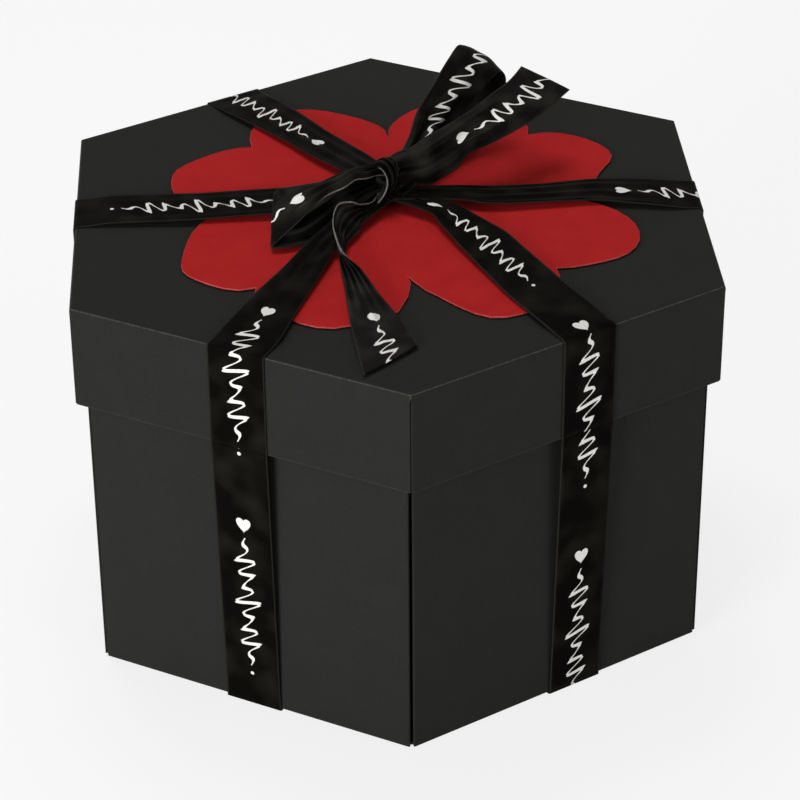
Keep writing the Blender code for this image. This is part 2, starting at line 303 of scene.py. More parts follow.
@dataclass(frozen=True, kw_only=True)
class CardFinish(PaperFinish):
    """Black card, dyed through, with paler edges that are partly rubbed wear and partly a painted
    highlight along the folds.
    """

    inradius: float
    low: float
    high: float
    colour: str = "#252523"
    mottle: str = "#2b2b29"
    # Paler edge colour: partly rubbed wear, partly a painted highlight on the folds.
    rubbed_and_highlit: str = "#696863"
    rub_highlight_mm: tuple[float, float] = (0.1, 0.45)
    rub_highlight_top: float = 0.8
    rub_highlight_corner: float = 0.35
    rub_highlight_foot: float = 0.12
    rub_highlight_breaks: tuple[float, float] = (0.32, 0.62)

    def material(self) -> Material:
        """Return the finished material."""
        material, tree, shader = new_material(self.name)
        place = add_node(tree, "ShaderNodeTexCoord")["Object"]
        tooth, card = self.mottled(tree, place, self.mottle)
        # The edges are painted paler: rubbed wear together with a painted highlight.
        rub = self.rub_and_highlight_mask(tree, place, tooth)
        colours = {0: rub, 6: card, 7: linear(self.rubbed_and_highlit)}
        paint = add_node(tree, MIX, colours, data_type="RGBA")[2]
        self.connect(tree, shader, paint, tooth, tooth)
        return material

    def rub_and_highlight_mask(self, tree: Tree, place: Socket, tooth: Socket) -> Socket:
        """Return how pale the card is, rubbed wear and painted highlight at once, from its distance to the
        nearest fold or cut edge.

        Args:
            tree: Tree of the material.
            place: Object coordinates.
            tooth: Fine noise that breaks the pale edge line up.

        Returns:
            A socket from zero, plain card, to one.
        """
        x, y, z = add_node(tree, "ShaderNodeSeparateXYZ", {0: place})
        found = {"x": x, "y": y, "z": z, "tooth": tooth, "worn": 0.0}
        half_turn = SIDE_TURN / 2
        steps = (
            ("angle", MATH, "ARCTAN2", "y", "x"),
            ("turn", MATH, "WRAP", "angle", half_turn, -half_turn),
            ("x square", MATH, "MULTIPLY", "x", "x"),
            ("square", MATH, "MULTIPLY_ADD", "y", "y", "x square"),
            ("reach", MATH, "SQRT", "square"),
            ("cosine", MATH, "COSINE", "turn"),
            ("sine", MATH, "SINE", "turn"),
            ("out", MATH, "MULTIPLY", "reach", "cosine"),
            ("across", MATH, "MULTIPLY", "reach", "sine"),
            ("beside", MATH, "ABSOLUTE", "across"),
            ("to face", MATH, "SUBTRACT", self.inradius, "out"),
            ("to corner", MATH, "SUBTRACT", self.inradius * CORNER_SLOPE, "beside"),
            ("to top", MATH, "SUBTRACT", self.high, "z"),
            ("to foot", MATH, "SUBTRACT", "z", self.low),
        )
        add_steps(tree, found, steps)
        # The top fold is painted palest, rubbed wear with a painted highlight; the corners less and the
        # foot least.
        near_mm, far_mm = self.rub_highlight_mm
        edges = (("to top", self.rub_highlight_top), ("to corner", self.rub_highlight_corner), ("to foot", self.rub_highlight_foot))
        for distance, amount in edges:
            steps = (
                ("edge", MATH, "MAXIMUM", "to face", distance),
                ("near", RANGE, "SMOOTHSTEP", "edge", near_mm * MM, far_mm * MM, amount, 0.0),
                ("worn", MATH, "MAXIMUM", "worn", "near"),
            )
            add_steps(tree, found, steps)
        steps = (
            ("broken", RANGE, "LINEAR", "tooth", *self.rub_highlight_breaks),
            ("rub", MATH, "MULTIPLY", "worn", "broken"),
        )
        return add_steps(tree, found, steps)


@dataclass(frozen=True, kw_only=True)
class RedCardFinish(PaperFinish):
    """Crimson card, dyed on its face and even, with a paler cut edge."""

    name: str = "crimson dyed card"
    colour: str = "#a51f20"
    mottle: str = "#b32828"
    edge_colour: str = "#c8605c"
    roughness: tuple[float, float] = (0.5, 0.68)
    relief: float = 0.3
    relief_mm: float = 0.05
    tooth_mm: float = 0.4
    tooth_roughness: float = 0.6
    cloud_mm: float = 7.0
    cloud_detail: float = 2.0
    cloud_share: float = 0.4
    tones: tuple[float, float] = (0.5, 0.9)

    def material(self, cut_edge: bool) -> Material:
        """Return the finished material.

        Args:
            cut_edge: True for the paler cut edge, False for the dyed face.
        """
        name = f"cut edge of {self.name}" if cut_edge else self.name
        material, tree, shader = new_material(name)
        place = add_node(tree, "ShaderNodeTexCoord")["Object"]
        pale = self.edge_colour if cut_edge else self.mottle
        tooth, paint = self.mottled(tree, place, pale)
        self.connect(tree, shader, paint, tooth, tooth)
        return material


@dataclass(frozen=True)
class RibbonPrint:
    """White print: a row of small hearts, each with a wavy flourish and a dot after it."""

    colour: str = "#e4e2dd"
    repeat_mm: float = 67.0
    plain_until_mm: float = 4.0
    heart_mm: float = 2.0
    heart_place_mm: float = 23.0
    dot_mm: float = 0.5
    dot_place_mm: float = 22.2
    reach_mm: float = 20.0
    height_mm: float = 3.1
    wave_mm: float = 4.3
    beat_mm: float = 11.6
    lean: float = 0.4
    beat_share: float = 0.36
    fade_power: float = 0.4
    fade_end: tuple[float, float] = (0.03, 0.01)
    pen_mm: float = 0.37
    pen_swell_mm: float = 0.24
    heart_length: float = 1.15
    heart_dip: float = 0.85
    blur_mm: float = 0.06

    def steps(self) -> tuple:
        """Return the steps that give one on the ink and zero beside it."""
        half = self.repeat_mm / 2
        return (
            ("onward", MATH, "ADD", "along", half + self.heart_place_mm),
            ("from heart", MATH, "WRAP", "onward", half, -half),
            ("shifted", MATH, "ADD", "along", half),
            ("from wave", MATH, "WRAP", "shifted", half, -half),
            *self.heart_steps(),
            *self.flourish_steps(),
            *self.dot_steps(),
            ("either", MATH, "MINIMUM", "heart", "flourish"),
            ("nearest", MATH, "MINIMUM", "either", "dot"),
            ("ink", RANGE, "LINEAR", "nearest", -self.blur_mm, self.blur_mm, 1.0, 0.0),
            ("begun", MATH, "GREATER_THAN", "along", self.plain_until_mm),
            ("print", MATH, "MULTIPLY", "ink", "begun"),
        )

    def heart_steps(self) -> tuple:
        """Return the steps to a value below zero inside a small heart that points along the ribbon."""
        return (
            ("wide", MATH, "DIVIDE", "beside", self.heart_mm),
            ("dip", MATH, "SQRT", "wide"),
            ("tall", MATH, "MULTIPLY", "from heart", -self.heart_length / self.heart_mm),
            ("lobe", MATH, "MULTIPLY_ADD", "dip", -self.heart_dip, "tall"),
            ("wide square", MATH, "MULTIPLY", "wide", "wide"),
            ("total", MATH, "MULTIPLY_ADD", "lobe", "lobe", "wide square"),
            ("heart", MATH, "SUBTRACT", "total", 1.0),
        )

    def flourish_steps(self) -> tuple:
        """Return the steps to a value below zero inside a wavy line that swells as a pen's does."""
        wave = math.tau / self.wave_mm
        return (
            ("leaning", MATH, "MULTIPLY_ADD", "across", self.lean, "from wave"),
            ("turn", MATH, "MULTIPLY", "leaning", wave),
            ("sine", MATH, "SINE", "turn"),
            ("cosine", MATH, "COSINE", "turn"),
            ("beat", MATH, "MULTIPLY", "from wave", math.tau / self.beat_mm),
            ("pulse", MATH, "COSINE", "beat"),
            ("level", MATH, "MULTIPLY_ADD", "pulse", self.beat_share, 1 - self.beat_share),
            # The line dies away toward both ends of its reach.
            ("share", MATH, "DIVIDE", "from wave", self.reach_mm),
            ("square", MATH, "MULTIPLY", "share", "share"),
            ("rest", MATH, "SUBTRACT", 1.0, "square"),
            ("fade", MATH, "MAXIMUM", "rest", 0.0),
            ("open", MATH, "POWER", "fade", self.fade_power),
            ("size", MATH, "MULTIPLY", "open", "level"),
            ("height", MATH, "MULTIPLY", "size", self.height_mm),
            # The gap to the line is divided by the line's steepness to become a true distance.
            ("line", MATH, "MULTIPLY", "height", "sine"),
            ("off", MATH, "SUBTRACT", "across", "line"),
            ("gap", MATH, "ABSOLUTE", "off"),
            ("rate", MATH, "MULTIPLY", "height", wave),
            ("slope", MATH, "MULTIPLY", "cosine", "rate"),
            ("upright", MATH, "MULTIPLY_ADD", "slope", -self.lean, 1.0),
            ("slope square", MATH, "MULTIPLY", "slope", "slope"),
            ("steep", MATH, "MULTIPLY_ADD", "upright", "upright", "slope square"),
            ("stretch", MATH, "SQRT", "steep"),
            ("true gap", MATH, "DIVIDE", "gap", "stretch"),
            ("swell", MATH, "MULTIPLY_ADD", "cosine", -self.pen_swell_mm, -self.pen_mm),
            ("inside", MATH, "ADD", "true gap", "swell"),
            ("beyond", RANGE, "LINEAR", "fade", *self.fade_end, -1.0, 1.0),
            ("flourish", MATH, "MAXIMUM", "inside", "beyond"),
        )

    def dot_steps(self) -> tuple:
        """Return the steps to a value below zero inside the dot at the end of the flourish."""
        return (
            ("away", MATH, "SUBTRACT", "from wave", self.dot_place_mm),
            ("away square", MATH, "MULTIPLY", "away", "away"),
            ("both", MATH, "MULTIPLY_ADD", "across", "across", "away square"),
            ("from dot", MATH, "SQRT", "both"),
            ("dot", MATH, "SUBTRACT", "from dot", self.dot_mm),
        )


class RibbonFace(Enum):
    """The two sides of the ribbon."""

    PRINTED = "printed"
    PLAIN = "plain"


class EdgeTone(Enum):
    """How far along a ribbon its second woven edge carries a painted highlight, in mm of the pattern."""

    SOFT = None
    PALE_AT_START = -10.0
    PALE_TO_PRINT = 4.0


@dataclass(frozen=True, kw_only=True)
class SatinFinish(Finish):
    """Black woven satin ribbon: soft broad gloss, painted sheen on lit patches and on the woven edges,
    white print on its face.
    """

    name: str = "black satin ribbon"
    colour: str = "#0b0a08"
    lit_colour: str = "#1c1b17"
    # Colour of the plain side; on the bow it is painted darker, as shade inside the loops.
    back_and_shade_colour: str = "#0a0a08"
    # The woven edges are painted lighter, as a painted sheen.
    edge_colour: str = "#24231f"
    # Painted highlight along the second woven edge, broken up by the slub noise.
    pale_edge_highlight: str = "#777570"
    pattern: RibbonPrint = RibbonPrint()
    roughness: tuple[float, float] = (0.28, 0.38)
    relief: float = 0.5
    relief_mm: float = 0.05
    lustre: float = 0.003
    half_width_mm: float = 7.75
    selvedge_mm: float = 0.35
    selvedge_blur: float = 0.3
    thread_relief: float = 0.15
    lit_range: tuple[float, float] = (0.42, 0.8)
    pale_edge_breakup: tuple[float, ...] = (0.3, 0.6, 0.35, 1.0)
    thread_mm: float = 0.32
    slub_mm: float = 1 / 1.2
    patch_mm: float = 9.0
    fade_mm: float = 3.0

    def material(self, face: RibbonFace, tone: EdgeTone) -> Material:
        """Return the finished material of one side.

        Args:
            face: Which side of the ribbon it is for.
            tone: How far its second woven edge carries a painted highlight.
        """
        edge = tone.name.lower().replace("_", " ")
        material, tree, shader = new_material(f"{self.name}, {face.value} side, {edge}")
        uv = add_node(tree, "ShaderNodeUVMap", uv_map=UV_NAME)[0]
        place = add_node(tree, VECTOR, {0: uv, "Scale": 1 / MM}, operation="SCALE")[0]
        across, along, _ = add_node(tree, "ShaderNodeSeparateXYZ", {0: place})
        fine = {"Vector": place, "Scale": 1 / self.slub_mm, "Detail": 4.0, "Roughness": 0.6}
        slub = add_node(tree, NOISE, fine)[0]
        wide = {"Vector": place, "Scale": 1 / self.patch_mm, "Detail": 1.0}
        patch = add_node(tree, NOISE, wide)[0]
        found = {"across": across, "along": along, "slub": slub, "patch": patch}
        steps = list(self.weave_steps())
        layers = [("lit", self.lit_colour), ("selvedge", self.edge_colour)]
        if tone is not EdgeTone.SOFT:
            steps += self.pale_edge_steps(tone.value)
            layers.append(("pale edge", self.pale_edge_highlight))
        if face is RibbonFace.PRINTED:
            steps += self.pattern.steps()
            layers.append(("print", self.pattern.colour))
        add_steps(tree, found, steps)
        paint = linear(self.colour if face is RibbonFace.PRINTED else self.back_and_shade_colour)
        for name, colour in layers:
            colours = {0: found[name], 6: paint, 7: linear(colour)}
            paint = add_node(tree, MIX, colours, data_type="RGBA")[2]
        self.connect(tree, shader, paint, slub, found["raised"])
        return material

    def weave_steps(self) -> tuple:
        """Return the steps to the raised threads, the woven edges with their painted sheen, and the lit
        patches of painted sheen.
        """
        inner = self.half_width_mm - self.selvedge_mm * (1 + self.selvedge_blur)
        outer = self.half_width_mm - self.selvedge_mm * (1 - self.selvedge_blur)
        return (
            ("beside", MATH, "ABSOLUTE", "across"),
            # Real threads are 0.1 mm apart and would not show, so they are drawn three times as coarse.
            ("thread", MATH, "MULTIPLY", "along", math.tau / self.thread_mm),
            ("rib", MATH, "SINE", "thread"),
            ("cloth", MATH, "MULTIPLY_ADD", "rib", self.thread_relief, "slub"),
            # The woven edges stand up as relief, and their band is painted lighter as a sheen.
            ("selvedge", RANGE, "SMOOTHSTEP", "beside", inner, outer),
            ("raised", MATH, "ADD", "cloth", "selvedge"),
            ("lit", RANGE, "LINEAR", "patch", *self.lit_range),
        )

    def pale_edge_steps(self, until: float) -> tuple:
        """Return the steps to the second woven edge, which carries a painted highlight until a place along
        the pattern.
        """
        start, end = until - self.fade_mm, until + self.fade_mm
        return (
            ("second side", MATH, "GREATER_THAN", "across", 0.0),
            ("kept", RANGE, "LINEAR", "along", start, end, 1.0, 0.0),
            ("worn", RANGE, "LINEAR", "slub", *self.pale_edge_breakup),
            ("patchy", MATH, "MULTIPLY", "kept", "worn"),
            ("edged", MATH, "MULTIPLY", "second side", "selvedge"),
            ("pale edge", MATH, "MULTIPLY", "edged", "patchy"),
        )


# Sizes


@dataclass(frozen=True)
class BoxSizes:
    """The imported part's sizes that the dressing follows."""

    lid_inradius: float
    lid_top: float
    rim: float
    wall_inradius: float
    ribbon_top: float
    lid_card: float = 1.0 * MM

    @classmethod
    def from_frame(cls) -> "BoxSizes":
        """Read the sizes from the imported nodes."""
        lid_low, lid_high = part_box("lid_shell")
        return cls(
            lid_inradius=lid_high.x,
            lid_top=lid_high.z,
            rim=lid_low.z,
            wall_inradius=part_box("outer_panel_3")[1].x,
            ribbon_top=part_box("heart_sheet")[1].z + PIECE_GAP,
        )


# Card


@dataclass
class CardLayers:
    """The three nested layers of base and walls, and the small box in the middle."""

    edge: float = 0.16 * MM
    sharp_angle: float = math.radians(30)

    def build(self) -> None:
        """Dress every base, wall and the small box."""
        for layer in ("outer", "middle", "inner"):
            self.dress(layer, f"{layer}_base", "base")
            for side in range(1, SIDES + 1):
                self.dress(layer, f"{layer}_panel_{side}", f"{layer}_wall_{side}")
        self.dress("small box", "gift_tray", "base")
        self.dress("small box lid", "gift_lid", "gift_box_lid")

    def dress(self, what: str, node: str, body: str) -> None:
        """Stand a soft-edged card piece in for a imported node.

        Args:
            what: What it belongs to, for the material's name.
            node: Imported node.
            body: Body that it rides on.
        """
        shape = merged_copy(node)
        sharp = [edge for edge in shape.edges if edge.calc_face_angle(0.0) > self.sharp_angle]
        soften(shape, sharp, self.edge)
        piece = object_from(shape, f"card_{node}")
        piece.data.materials.append(self.finish(what, node))
        stand_in(piece, body, (node,))

    def finish(self, what: str, node: str) -> Material:
        """Return the card material whose rubbed edges fit a node, made once for each size.

        Args:
            what: What it belongs to, for the material's name.
            node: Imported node.
        """
        is_wall = "_panel_" in node
        if is_wall:
            node = node.rsplit("_", 1)[0] + "_3"
        name = f"black dyed card of the {what} {'wall' if is_wall else 'piece'}"
        known = bpy.data.materials.get(name)
        if known:
            return known
        low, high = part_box(node)
        return CardFinish(name=name, inradius=high.x, low=low.z, high=high.z).material()


@dataclass
class FoldedLid:
    """The lid: one sheet of card, folded down at six sides and joined by tabs inside."""

    sizes: BoxSizes
    fold_radius: float = 0.75 * MM
    fold_steps: int = 4
    columns: int = 8
    skirt_rows: int = 5
    slot: float = 0.34 * MM
    pressed_edge: float = 0.12 * MM
    pressed_angle: float = math.radians(50)
    tab_width: float = 9.0 * MM
    tab_card: float = 0.5 * MM
    tab_slant: float = 2.0 * MM
    tab_top_gap: float = 0.5 * MM
    tab_rim_gap: float = 1.5 * MM

    def build(self) -> None:
        """Build and dress the lid."""
        sizes = self.sizes
        piece = object_from(self.sheet(), "card_lid")
        thick = piece.modifiers.new("card", "SOLIDIFY")
        thick.thickness = sizes.lid_card
        thick.offset = -1.0
        thick.use_even_offset = True
        edge = piece.modifiers.new("pressed_edges", "BEVEL")
        edge.width = self.pressed_edge
        edge.segments = 1
        edge.limit_method = "ANGLE"
        edge.angle_limit = self.pressed_angle
        settle(piece)
        self.add_tabs(piece)
        name = "black dyed card of the lid"
        finish = CardFinish(name=name, inradius=sizes.lid_inradius, low=sizes.rim, high=sizes.lid_top)
        piece.data.materials.append(finish.material())
        stand_in(piece, "lid", ("lid_shell",))

    def profile(self) -> list[tuple[float, float]]:
        """Return inradius and height of each ring of the flat top and the fold."""
        radius = self.fold_radius
        inner = self.sizes.lid_inradius - radius
        top = self.sizes.lid_top
        rings = [(inner - radius, top)]
        for step in range(self.fold_steps + 1):
            angle = math.pi / 2 * step / self.fold_steps
            rings.append((inner + radius * math.sin(angle), top - radius * (1 - math.cos(angle))))
        return rings

    def row(self, side: int, inradius: float, half: float, height: float, count: int) -> list[Vector]:
        """Return points along one side of the lid.

        Args:
            side: Number of the side.
            inradius: How far out the row runs.
            half: Half its length.
            height: How high it runs.
            count: Number of points, from the row's start.

        Returns:
            The points, turned to their side.
        """
        turn = side_matrix(side)
        shares = [2 * column / self.columns - 1 for column in range(count)]
        return [turn @ Vector((inradius, half * share, height)) for share in shares]

    def sheet(self) -> Mesh:
        """Return the outer surface: a top that runs over the folds into six separate skirts."""
        shape = bmesh.new()
        rings = []
        for inradius, height in self.profile():
            half = inradius * CORNER_SLOPE
            sides = (self.row(side, inradius, half, height, self.columns) for side in range(SIDES))
            rings.append([shape.verts.new(point) for points in sides for point in points])
        shape.faces.new(rings[0])
        for upper, lower in zip(rings, rings[1:]):
            for index in range(len(upper)):
                after = (index + 1) % len(upper)
                shape.faces.new((upper[index], lower[index], lower[after], upper[after]))
        for side in range(SIDES):
            self.add_skirt(shape, rings[-1], side)
        bmesh.ops.recalc_face_normals(shape, faces=shape.faces)
        top = max(shape.faces, key=lambda face: len(face.verts))
        if top.normal.z < 0:
            bmesh.ops.reverse_faces(shape, faces=shape.faces)
        return shape

    def add_skirt(self, shape: Mesh, ring: list, side: int) -> None:
        """Add one skirt below the fold, with a narrow slot to its neighbours.

        Args:
            shape: Mesh of the lid.
            ring: Lowest ring of the fold.
            side: Number of the side.
        """
        inradius, rim = self.sizes.lid_inradius, self.sizes.rim
        start = side * self.columns
        above = [ring[(start + column) % len(ring)] for column in range(self.columns + 1)]
        first = above[0].co.z - 4 * self.slot
        half = inradius * CORNER_SLOPE - self.slot
        for row in range(self.skirt_rows + 1):
            height = first + (rim - first) * row / self.skirt_rows
            points = self.row(side, inradius, half, height, self.columns + 1)
            below = [shape.verts.new(point) for point in points]
            for column in range(self.columns):
                after = column + 1
                shape.faces.new((above[column], below[column], below[after], above[after]))
            above = below

    def add_tabs(self, piece: Object) -> None:
        """Add the glued tabs behind the slots, inside the skirt's corners.

        Args:
            piece: The folded lid.
        """
        shape = bmesh.new()
        shape.from_mesh(piece.data)
        inside = self.sizes.lid_inradius - self.sizes.lid_card
        high = self.sizes.lid_top - self.sizes.lid_card - self.tab_top_gap
        low = self.sizes.rim + self.tab_rim_gap
        for side in range(SIDES):
            turn = side_matrix(side)
            rows = []
            for reach in (inside, inside - self.tab_card):
                corner = reach * CORNER_SLOPE
                outline = (
                    (corner, high),
                    (corner - self.tab_width, high - self.tab_slant),
                    (corner - self.tab_width, low + self.tab_slant),
                    (corner, low),
                )
                points = [turn @ Vector((reach, across, z)) for across, z in outline]
                rows.append([shape.verts.new(point) for point in points])
            near, far = rows
            faces = [shape.faces.new(near), shape.faces.new(list(reversed(far)))]
            for index in range(len(near)):
                after = (index + 1) % len(near)
                faces.append(shape.faces.new((near[after], near[index], far[index], far[after])))
            bmesh.ops.recalc_face_normals(shape, faces=faces)
        shape.to_mesh(piece.data)
        shape.free()


@dataclass
class HeartSheet:
    """The red sheet of four hearts that meet point to point."""

    edge: float = 0.1 * MM
    rim_angle: float = math.radians(60)
    face_normal: float = 0.99
    level_gap: float = 0.01 * MM

    # Where the cut outline leaves the regular hearts: centre, reach and pull in mm.
    PULLS = (
        ((-58, 19), 9, (1.5, 0)),
        ((-50, 34), 14, (1.5, -4)),
        ((-56, -16), 15, (5, -6.5)),
        ((-38, -38), 10, (0, -4)),
        ((-17, -60), 9, (0, -2)),
        ((-2, -53), 5, (0, -4)),
        ((2, -43), 4, (0, 2.5)),
        ((7, -51), 9, (3, 5)),
        ((14, -58), 6, (0.5, 2)),
        ((-7, 56), 14, (-1, -4.5)),
        ((46, 39), 10, (0, 1.5)),
        ((62, 11), 12, (-4.5, 4)),
        ((50, -37), 11, (0, 2.5)),
    )

    def pull(self, place: Vector) -> Vector:
        """Return how far the cut outline is pulled at a place.

        Args:
            place: A point of the regular outline in metres.

        Returns:
            The move in metres, which dies away beyond each reach.
        """
        total = Vector((0.0, 0.0, 0.0))
        for centre, reach, move in self.PULLS:
            away = math.dist(centre, place.xy / MM) / reach
            total += Vector((*move, 0.0)) * MM * math.exp(-away * away)
        return total

    def build(self) -> None:
        """Build and dress the sheet."""
        shape = merged_copy("heart_sheet")
        for vert in shape.verts:
            vert.co += self.pull(vert.co)
        rims = [edge for edge in shape.edges if self.is_rim(edge)]
        soften(shape, rims, self.edge)
        for face in shape.faces:
            face.material_index = 0 if abs(face.normal.z) > self.face_normal else 1
        piece = object_from(shape, "card_hearts")
        for cut_edge in (False, True):
            piece.data.materials.append(RedCardFinish().material(cut_edge))
        stand_in(piece, "lid", ("heart_sheet",))

    def is_rim(self, edge: bmesh.types.BMEdge) -> bool:
        """Return whether an edge runs round the top or the bottom of the cut outline.

        Args:
            edge: An edge of the sheet.
        """
        here, there = edge.verts
        level = abs(here.co.z - there.co.z) < self.level_gap
        return level and edge.calc_face_angle(0.0) > self.rim_angle


# Ribbon


@dataclass(frozen=True)
class RibbonCut:
    """How one strip of ribbon is cut, folded and printed."""

    rows: int = 40
    columns: int = 17
    width: float = 15.5 * MM
    thickness: float = 0.22 * MM
    pleats: float = 3.0
    phase: float = 0.0
    crease_mm: float = 5.0
    slant_end: float = 0.0
    print_start_mm: float = 0.0
    tone: EdgeTone = EdgeTone.SOFT
    seed: int = 1


@dataclass(frozen=True)
class Station:
    """A place along a ribbon, in metres.

    Attributes:
        middle: Where the ribbon's middle line is.
        spread: Half its visible width, as a vector across it.
        crown: How far its middle stands out over its edges.
        gather: Share of the missing width that stands up as lengthwise folds.
        wrinkle: Height of its small creases.
    """

    middle: Vector
    spread: Vector
    crown: float = 0.0
    gather: float = 0.0
    wrinkle: float = 0.0

    def pleat(self, cut: RibbonCut) -> float:
        """Return how high the folds stand.

        Args:
            cut: How the strip is cut.
        """
        visible = 2 * self.spread.length
        missing = max(cut.width / visible - 1, 0.0)
        return self.gather * visible / cut.pleats / math.pi * math.sqrt(missing)


class RibbonLoom:
    """Weaves ribbons: one geometry node tree lays a strip of cloth along a path of stations."""

    INPUTS = (
        ("Steps along", "NodeSocketInt"),
        ("Steps across", "NodeSocketInt"),
        ("Full width", "NodeSocketFloat"),
        ("Pleats", "NodeSocketFloat"),
        ("Pleat phase", "NodeSocketFloat"),
        ("Crease size", "NodeSocketFloat"),
        ("Slant at end", "NodeSocketFloat"),
        ("Print start", "NodeSocketFloat"),
        ("Seed", "NodeSocketInt"),
        ("Satin", "NodeSocketMaterial"),
    )
    CURVE_STEPS = 16
    # The grid's own x runs along the strip and its y across it, both from minus to plus a half.
    STRIP_STEPS = (
        ("row", MATH, "ADD", "x", 0.5),
        ("across", MATH, "MULTIPLY", "y", 2.0),
        ("size", MATH, "ABSOLUTE", "Slant at end"),
        ("lean", MATH, "MULTIPLY_ADD", "Slant at end", "across", "size"),
        ("kept", MATH, "MULTIPLY_ADD", "lean", -0.5, 1.0),
        ("share", MATH, "MULTIPLY", "row", "kept"),
        ("distance", MATH, "MULTIPLY_ADD", "share", "length", "Print start"),
        ("beside", MATH, "MULTIPLY", "Full width", "y"),
    )
    CLOTH_STEPS = (
        ("square", MATH, "MULTIPLY", "across", "across"),
        ("arch", MATH, "SUBTRACT", 1.0, "square"),
        ("crowned", MATH, "MULTIPLY", "crown", "arch"),
        ("waves", MATH, "MULTIPLY", "Pleats", math.pi),
        ("turn", MATH, "MULTIPLY_ADD", "across", "waves", "Pleat phase"),
        ("wave", MATH, "COSINE", "turn"),
        ("pleated", MATH, "MULTIPLY_ADD", "pleat", "wave", "crowned"),
        ("centred", MATH, "SUBTRACT", "creases", 0.5),
        ("raised", MATH, "MULTIPLY_ADD", "wrinkle", "centred", "pleated"),
        ("normal", VECTOR, "CROSS_PRODUCT", "heading", "spread"),
        ("out", VECTOR, "NORMALIZE", "normal"),
        ("lifted", VECTOR, "MULTIPLY_ADD", "out", "raised", "middle"),
        ("placed", VECTOR, "MULTIPLY_ADD", "spread", "across", "lifted"),
    )

    def __init__(self, finish: SatinFinish) -> None:
        """Make the materials and the tree.

        Args:
            finish: Finish of the ribbon.
        """
        self.satins = {
            tone: tuple(finish.material(face, tone) for face in RibbonFace) for tone in EdgeTone
        }
        self.tree = self.make_tree()

    def make_tree(self) -> Tree:
        """Return the tree that turns a path into a strip of cloth."""
        tree = bpy.data.node_groups.new("ribbon along a path", "GeometryNodeTree")
        tree.is_modifier = True
        for name, kind in (("Path", "NodeSocketGeometry"), *self.INPUTS):
            tree.interface.new_socket(name, in_out="INPUT", socket_type=kind)
        tree.interface.new_socket("Ribbon", in_out="OUTPUT", socket_type="NodeSocketGeometry")
        given = add_node(tree, "NodeGroupInput")
        line = add_node(tree, "GeometryNodeMeshToCurve", {0: given["Path"]})[0]
        bent = add_node(tree, "GeometryNodeCurveSplineType", {0: line}, spline_type="CATMULL_ROM")[0]
        kind = "GeometryNodeSetSplineResolution"
        fine = add_node(tree, kind, {0: bent, "Resolution": self.CURVE_STEPS})[0]
        size = {"Size X": 1.0, "Size Y": 1.0}
        size.update({"Vertices X": given["Steps along"], "Vertices Y": given["Steps across"]})
        grid = add_node(tree, "GeometryNodeMeshGrid", size)["Mesh"]
        here = add_node(tree, "GeometryNodeInputPosition")[0]
        x, y, _ = add_node(tree, "ShaderNodeSeparateXYZ", {0: here})
        found = {name: given[name] for name, _ in self.INPUTS}
        found.update(x=x, y=y, length=add_node(tree, "GeometryNodeCurveLength", {0: fine})[0])
        add_steps(tree, found, self.STRIP_STEPS)
        flat = {0: found["beside"], 1: found["distance"]}
        found["flat"] = add_node(tree, "ShaderNodeCombineXYZ", flat)[0]
        mark = {"Geometry": grid, "Name": UV_NAME, "Value": found["flat"]}
        kind = "GeometryNodeStoreNamedAttribute"
        marked = add_node(tree, kind, mark, data_type="FLOAT2", domain="CORNER")[0]
        place = self.cloth_place(tree, found, fine)
        laid = add_node(tree, "GeometryNodeSetPosition", {"Geometry": marked, "Position": place})[0]
        soft = add_node(tree, "GeometryNodeSetShadeSmooth", {0: laid, "Shade Smooth": True})[0]
        real = add_node(tree, "GeometryNodeRealizeInstances", {0: soft})[0]
        dress = {"Geometry": real, "Material": given["Satin"]}
        add_node(tree, "NodeGroupOutput", {0: add_node(tree, "GeometryNodeSetMaterial", dress)[0]})
        return tree

    def cloth_place(self, tree: Tree, found: dict[str, Socket], curve: Socket) -> Socket:
        """Return where each point of the cloth lies.

        Args:
            tree: The ribbon's tree.
            found: Sockets by name: the tree's inputs and the place on the strip.
            curve: The smooth path.

        Returns:
            The place as a vector.
        """
        kind = {"data_type": "FLOAT_VECTOR"}
        samples = {}
        for name in ("spread", "folds"):
            value = add_node(tree, "GeometryNodeInputNamedAttribute", {"Name": name}, **kind)[0]
            inputs = {"Curves": curve, "Value": value, "Factor": found["share"]}
            samples[name] = add_node(tree, "GeometryNodeSampleCurve", inputs, mode="FACTOR", **kind)
        path = samples["spread"]
        found.update(spread=path["Value"], heading=path["Tangent"], middle=path["Position"])
        folds = add_node(tree, "ShaderNodeSeparateXYZ", {0: samples["folds"]["Value"]})
        found.update(zip(("crown", "pleat", "wrinkle"), folds))
        creases = {"Vector": found["flat"], "W": found["Seed"], "Scale": found["Crease size"]}
        creases["Detail"] = 2.0
        found["creases"] = add_node(tree, NOISE, creases, noise_dimensions="4D")[0]
        return add_steps(tree, found, self.CLOTH_STEPS)

